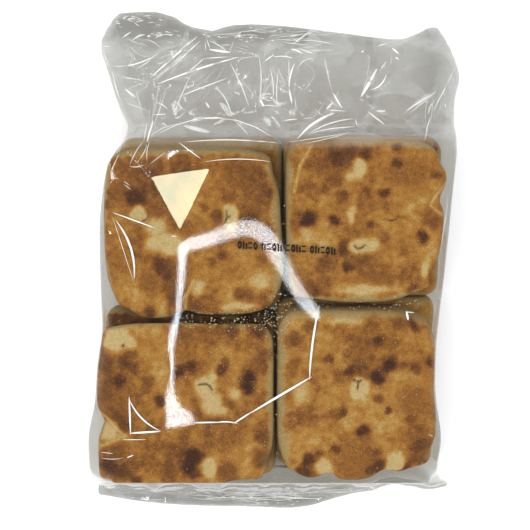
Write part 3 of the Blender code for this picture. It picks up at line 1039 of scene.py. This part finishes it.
def mirrored_share(tree, facet_normal, grain):
    """How much the film mirrors: 7% straight on, nearly all at a glance, less where crust touches it."""
    touching = add_node(tree, "ShaderNodeAttribute", attribute_name="touching").outputs["Fac"]
    turned = add_node(tree, "ShaderNodeLayerWeight", {"Normal": facet_normal}, Blend=0.5).outputs["Facing"]
    steep = add_node(tree, "ShaderNodeMath", {0: turned, 1: 5}, operation="POWER")
    mirror = add_node(
        tree, "ShaderNodeMath", {0: steep.outputs[0], 1: 0.93, 2: 0.07}, operation="MULTIPLY_ADD"
    ).outputs[0]
    contact = add_node(
        tree, "ShaderNodeMapRange",
        {"Value": grain, "From Min": 0.6, "From Max": 0.4, "To Min": 0.2, "To Max": -0.6},
    )
    patchy = add_node(
        tree, "ShaderNodeMath", {0: contact.outputs["Result"], 1: touching}, operation="MULTIPLY"
    )
    return add_node(
        tree, "ShaderNodeMath", {0: mirror, 1: patchy.outputs[0], 2: mirror}, operation="MULTIPLY_ADD"
    ).outputs[0]


def hazy_share(tree, wide, narrow, slack):
    """How milky the film is: each facet has its own haze, and only slack film has any."""
    mixed = add_node(tree, "ShaderNodeMath", {0: wide.outputs["Color"], 1: narrow.outputs["Color"]})
    squared = add_node(tree, "ShaderNodeMath", {0: mixed.outputs[0], 1: 2}, operation="POWER")
    share = add_node(tree, "ShaderNodeMath", {0: squared.outputs[0], 1: slack}, operation="MULTIPLY")
    return add_node(tree, "ShaderNodeMath", {0: share.outputs[0], 1: 0.07}, operation="MULTIPLY").outputs[0]


def clear_film():
    """Thin polypropylene film: greyish clear, hazy in patches where slack, with sharp gloss."""
    material, tree = new_material("clear_film")
    place = add_node(tree, "ShaderNodeTexCoord").outputs["Object"]
    slack = add_node(tree, "ShaderNodeAttribute", attribute_name="slack").outputs["Fac"]
    # Facets about 35 mm and 14 mm across.
    wide = add_node(tree, "ShaderNodeTexVoronoi", {"Vector": place}, Scale=28, Randomness=1)
    narrow = add_node(tree, "ShaderNodeTexVoronoi", {"Vector": place}, Scale=70, Randomness=1)
    facet_normal = crumpled_normal(tree, wide, narrow, slack)
    # The crust's grain, 0.8 mm across, shows through as bumps of 0.002 mm.
    grain = add_node(tree, "ShaderNodeTexNoise", {"Vector": place}, Scale=1300, Detail=0).outputs["Fac"]
    grainy_normal = add_node(
        tree, "ShaderNodeBump", {"Height": grain, "Normal": facet_normal}, Strength=1, Distance=0.002 * MM
    ).outputs["Normal"]
    gloss = add_node(
        tree, "ShaderNodeBsdfGlossy", {"Normal": grainy_normal}, Color=linear("FFFFFF"), Roughness=0.02
    )
    mirrored = mirrored_share(tree, facet_normal, grain)
    clear = seen_through(tree)
    film = add_node(
        tree, "ShaderNodeMixShader",
        {"Fac": mirrored, 1: clear.outputs[0], 2: gloss.outputs[0]},
    )
    haze = add_node(tree, "ShaderNodeBsdfPrincipled", Base_Color=linear("E6E8E8"), Roughness=0.4)
    both = add_node(
        tree, "ShaderNodeMixShader",
        {"Fac": hazy_share(tree, wide, narrow, slack), 1: film.outputs[0], 2: haze.outputs[0]},
    )
    add_node(tree, "ShaderNodeOutputMaterial", {"Surface": both.outputs[0]})
    return material


def whitened_film_and_painted_glints():
    """Film creased so sharply that it has gone white, also used for painted glints of light: partly clear,
    satin.
    """
    material, tree = new_material("whitened_film_and_painted_glints")
    whiteness = add_node(tree, "ShaderNodeAttribute", attribute_name="whiteness").outputs["Fac"]
    clear = add_node(tree, "ShaderNodeBsdfTransparent", Color=linear("FFFFFF"))
    white = add_node(tree, "ShaderNodeBsdfPrincipled", Base_Color=linear("F8F7F2"), Roughness=0.35)
    both = add_node(
        tree, "ShaderNodeMixShader", {"Fac": whiteness, 1: clear.outputs[0], 2: white.outputs[0]}
    )
    add_node(tree, "ShaderNodeOutputMaterial", {"Surface": both.outputs[0]})
    return material


def plain_material(name, code, roughness):
    """Dry and matt, with one colour all over, as crumbs of crust, printing ink and paper are."""
    material, tree = new_material(name)
    surface = add_node(tree, "ShaderNodeBsdfPrincipled", Base_Color=linear(code), Roughness=roughness)
    add_node(tree, "ShaderNodeOutputMaterial", {"Surface": surface.outputs[0]})
    return material


# The studio.

CAMERA_PLACE = (-0.0054, 0.1800, 1.0148)
CAMERA_TILT = math.radians(-10)
CAMERA_LENS = 97.8  # millimetres, on a sensor 36 mm wide
SUN_TILT = math.radians(38)  # from straight above
SUN_WIDTH = math.radians(30)  # how wide a piece of sky each soft sun fills
FLOOR_HEIGHT = -0.2 * MM


def lay_floor():
    deselect()
    bpy.ops.mesh.primitive_plane_add(size=6, location=(0, 0, FLOOR_HEIGHT))
    floor = bpy.context.active_object
    floor.name = "studio_floor"
    floor.data.materials.append(plain_material("studio_paper", "F6F6F6", 0.8))


def add_soft_sun(name, heading, energy):
    """Very soft light from one side, which leaves no glare in the film."""
    data = bpy.data.lights.new(name, "SUN")
    data.color = linear("FAFCFF")[:3]
    data.angle = SUN_WIDTH
    data.energy = energy
    light = bpy.data.objects.new(name, data)
    light.rotation_euler = (SUN_TILT, 0, heading)
    light.visible_glossy = False
    bpy.context.scene.collection.objects.link(light)


def add_light(name, place, size, power, colour):
    """A round light that faces the bag."""
    data = bpy.data.lights.new(name, "AREA")
    data.color = linear(colour)[:3]
    data.shape = "DISK"
    data.size = size
    data.energy = power
    light = bpy.data.objects.new(name, data)
    light.location = place
    light.rotation_euler = Vector(place).to_track_quat("Z", "Y").to_euler()
    bpy.context.scene.collection.objects.link(light)


# The bent band of glare that the flat film mirrors: x, y and half width in millimetres and how bright,
# at points along it.
GLARE_BAND = (
    (-63.5, -101, 10, 1), (-64.5, -97, 10, 1), (-67.3, -91, 6.5, 1), (-69.8, -83, 3.8, 1),
    (-70, -76, 2.2, 1), (-69, -69, 1.0, 1), (-68.4, -60, 0.7, 1), (-69.3, -51, 1.2, 1), (-69, -42, 2.1, 1),
    (-67.3, -33, 2.5, 1), (-65, -25, 1.6, 1), (-63.8, -16, 1.7, 1), (-62.8, -6, 2, 1), (-61.8, 4, 2.3, 1),
    (-61.2, 14, 2.6, 1), (-60, 23, 3.6, 1), (-51.5, 26.5, 4.4, 0.9), (-41, 29.5, 4.6, 0.8),
    (-30, 33.8, 5.2, 0.7), (-16.5, 36.5, 5.4, 0.7), (-5, 31, 6, 0.7), (4, 16, 5.2, 0.65), (12, 2, 4.8, 0.6),
    (20.5, -12, 4.6, 0.65), (27, -20, 3.8, 0.8), (31, -26, 1.5, 1),
)
SMOOTHING = 4  # steps between two of the points
LAMP_STRENGTH = 16


def eased(points):
    """The points of a smooth curve through the given ones."""
    before = np.vstack([points[:1], points[:-1]])[:-1]
    start, end = points[:-1], points[1:]
    after = np.vstack([points[1:], points[-1:]])[1:]
    steps = []
    for t in np.arange(SMOOTHING) / SMOOTHING:
        steps.append(
            start + t * (end - before) / 2 + t ** 2 * (before - 2.5 * start + 2 * end - after / 2)
            + t ** 3 * (1.5 * start - 1.5 * end + (after - before) / 2)
        )
    return np.vstack([np.stack(steps, axis=1).reshape(-1, points.shape[1]), points[-1:]])


def lamp_diffuser():
    """Opal diffuser lit from behind, brightest along its middle."""
    material, tree = new_material("lamp_diffuser")
    glow = add_node(tree, "ShaderNodeAttribute", attribute_name="glow").outputs["Fac"]
    strength = add_node(tree, "ShaderNodeMath", {0: glow, 1: LAMP_STRENGTH}, operation="MULTIPLY")
    shine = add_node(tree, "ShaderNodeEmission", {"Strength": strength.outputs[0]}, Color=linear("EBF8FF"))
    add_node(tree, "ShaderNodeOutputMaterial", {"Surface": shine.outputs[0]})
    return material


def strip_lamp():
    """The lamp's ribbon: bright along its middle, fading at its edges."""
    curve = eased(np.array(GLARE_BAND, float))
    # Level with the camera, a lamp lies as far beyond its glare as the camera lies before it.
    spots = 2 * curve[:, :2] - np.array(CAMERA_PLACE[:2]) / MM
    half = 2 * curve[:, 2:3]
    run = np.gradient(spots, axis=0)
    across = np.column_stack([-run[:, 1], run[:, 0]]) / np.hypot(*run.T)[:, None]
    shares = (-1.1, -0.8, 0.8, 1.1)
    glow = (0, 1, 1, 0)
    height = np.full(len(spots), CAMERA_PLACE[2] / MM)
    rows = [np.column_stack([spots + across * half * share, height]) for share in shares]
    count = len(spots)
    faces = [
        (k * count + i, k * count + i + 1, (k + 1) * count + i + 1, (k + 1) * count + i)
        for k in range(len(shares) - 1) for i in range(count - 1)
    ]
    mesh = bpy.data.meshes.new("strip_lamp")
    mesh.from_pydata((np.concatenate(rows) * MM).tolist(), [], faces)
    mesh.materials.append(lamp_diffuser())
    lamp = bpy.data.objects.new("strip_lamp", mesh)
    bpy.context.scene.collection.objects.link(lamp)
    store(lamp, "glow", np.outer(glow, curve[:, 3]).ravel())
    lamp.visible_camera = False


def light_studio():
    """Soft light from all four sides. What the film mirrors is paler low down and dark straight above."""
    world = bpy.data.worlds.new("studio_air")
    world.use_nodes = True
    tree = world.node_tree
    direction = add_node(tree, "ShaderNodeTexCoord").outputs["Generated"]
    upward = add_node(tree, "ShaderNodeSeparateXYZ", {"Vector": direction}).outputs["Z"]
    sky = add_node(tree, "ShaderNodeValToRGB", {"Fac": upward})
    set_stops(sky, ((0, "CFD1D4"), (0.35, "BCBEC0"), (0.78, "BCBEC0"), (0.95, "686A6C")))
    tree.links.new(sky.outputs["Color"], tree.nodes["Background"].inputs["Color"])
    bpy.context.scene.world = world
    for side, quarter, energy in (("near", 0, 0.8), ("right", 1, 0.9), ("far", 2, 1.3), ("left", 3, 1.6)):
        add_soft_sun("soft_sun_" + side, quarter * math.pi / 2, energy)
    add_light("lamp_left", place=(-0.286, 0.024, 1.0), size=0.13, power=0.44, colour="FCFFDD")
    strip_lamp()


def place_camera():
    data = bpy.data.cameras.new("camera")
    data.sensor_width = 36
    data.lens = CAMERA_LENS
    camera = bpy.data.objects.new("camera", data)
    camera.location = CAMERA_PLACE
    camera.rotation_euler = (CAMERA_TILT, 0, 0)
    bpy.context.scene.collection.objects.link(camera)
    bpy.context.scene.camera = camera


def surface_of(piece):
    return BVHTree.FromObject(piece, bpy.context.evaluated_depsgraph_get())


def main():
    bpy.context.scene.view_settings.view_transform = "Standard"
    crust = baked_crust()
    film = make_film(clear_film())
    film_surface = surface_of(film)
    bread = [make_bun(bun, FINE_VOXEL, crust, film_surface) for bun in UPPER_BUNS]
    bread += [make_bun(bun, COARSE_VOXEL, crust, film_surface) for bun in LOWER_BUNS]
    make_crumbs([surface_of(bun) for bun in bread], plain_material("crust_crumbs", "DDCDA6", 0.7))
    make_folds_and_glints(film_surface, whitened_film_and_painted_glints())
    make_print(film_surface, plain_material("printing_ink", "17130F", 0.5))
    lay_floor()
    light_studio()
    place_camera()


main()
